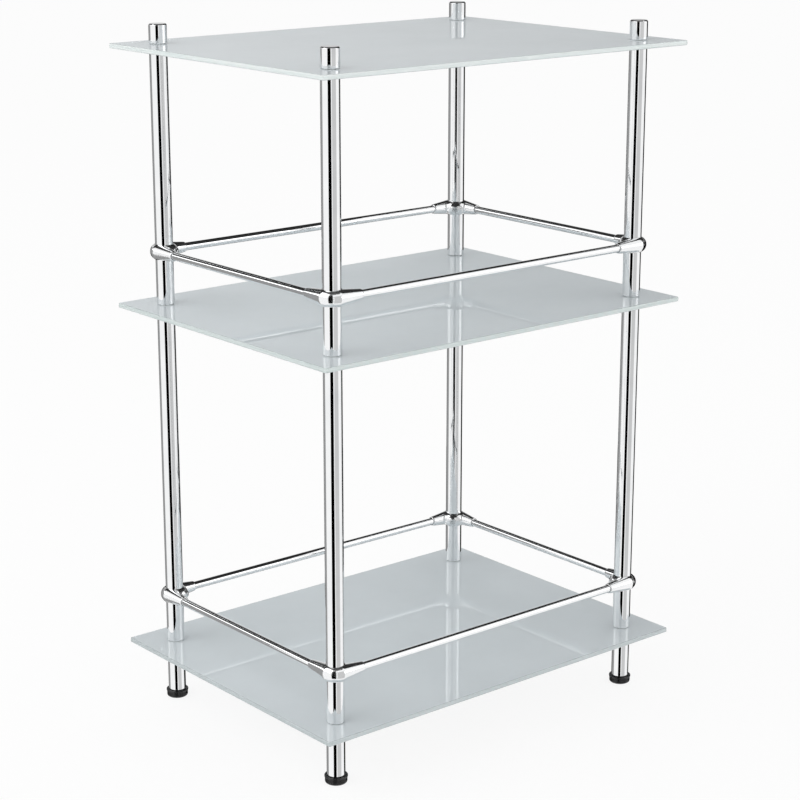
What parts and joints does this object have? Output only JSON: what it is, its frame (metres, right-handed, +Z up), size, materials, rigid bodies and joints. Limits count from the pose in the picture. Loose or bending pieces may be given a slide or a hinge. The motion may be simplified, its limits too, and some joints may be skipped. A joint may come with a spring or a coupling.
{
  "type": "glass shelf unit",
  "caption": "Free-standing shelf unit: drilled frosted glass shelves bolted between chrome posts, with guard rails above the lower shelves and black levelling feet.",
  "frame": {"origin": "on the floor, in the middle of the unit's plan", "axes": "+X along the long front side to the right, +Y to the back, +Z up"},
  "size_m": [0.48, 0.36, 0.7404],
  "materials": {
    "chrome": "polished plating",
    "glass": "frosted, with a glossy top face and polished edges",
    "black_plastic": "moulded",
    "steel": "zinc plated"
  },
  "bodies": {
    "frame": {"top_glass_shelf": "glass", "middle_glass_shelf": "glass", "bottom_glass_shelf": "glass", "front_left_leg": "chrome", "front_left_lower_post": "chrome", "front_left_upper_post": "chrome", "front_left_top_cap": "chrome", "front_left_upper_connector": "chrome", "front_left_upper_fixing_screw": "steel", "front_left_lower_connector": "chrome", "front_left_lower_fixing_screw": "steel", "front_left_bottom_stud": "steel", "front_left_middle_stud": "steel", "front_left_top_stud": "steel", "front_right_leg": "chrome", "front_right_lower_post": "chrome", "front_right_upper_post": "chrome", "front_right_top_cap": "chrome", "front_right_upper_connector": "chrome", "front_right_upper_fixing_screw": "steel", "front_right_lower_connector": "chrome", "front_right_lower_fixing_screw": "steel", "front_right_bottom_stud": "steel", "front_right_middle_stud": "steel", "front_right_top_stud": "steel", "back_left_leg": "chrome", "back_left_lower_post": "chrome", "back_left_upper_post": "chrome", "back_left_top_cap": "chrome", "back_left_upper_connector": "chrome", "back_left_upper_fixing_screw": "steel", "back_left_lower_connector": "chrome", "back_left_lower_fixing_screw": "steel", "back_left_bottom_stud": "steel", "back_left_middle_stud": "steel", "back_left_top_stud": "steel", "back_right_leg": "chrome", "back_right_lower_post": "chrome", "back_right_upper_post": "chrome", "back_right_top_cap": "chrome", "back_right_upper_connector": "chrome", "back_right_upper_fixing_screw": "steel", "back_right_lower_connector": "chrome", "back_right_lower_fixing_screw": "steel", "back_right_bottom_stud": "steel", "back_right_middle_stud": "steel", "back_right_top_stud": "steel", "upper_front_rail": "chrome", "upper_back_rail": "chrome", "upper_left_rail": "chrome", "upper_right_rail": "chrome", "lower_front_rail": "chrome", "lower_back_rail": "chrome", "lower_left_rail": "chrome", "lower_right_rail": "chrome"},
    "front_left_glide": {"front_left_foot": "black_plastic"},
    "front_right_glide": {"front_right_foot": "black_plastic"},
    "back_left_glide": {"back_left_foot": "black_plastic"},
    "back_right_glide": {"back_right_foot": "black_plastic"}
  },
  "joints": [
    {"name": "front_left_levelling", "type": "slide", "parent": "frame", "child": "front_left_glide", "axis": [0, 0, -1], "range_m": [0, 0.006]},
    {"name": "front_right_levelling", "type": "slide", "parent": "frame", "child": "front_right_glide", "axis": [0, 0, -1], "range_m": [0, 0.006]},
    {"name": "back_left_levelling", "type": "slide", "parent": "frame", "child": "back_left_glide", "axis": [0, 0, -1], "range_m": [0, 0.006]},
    {"name": "back_right_levelling", "type": "slide", "parent": "frame", "child": "back_right_glide", "axis": [0, 0, -1], "range_m": [0, 0.006]}
  ]
}
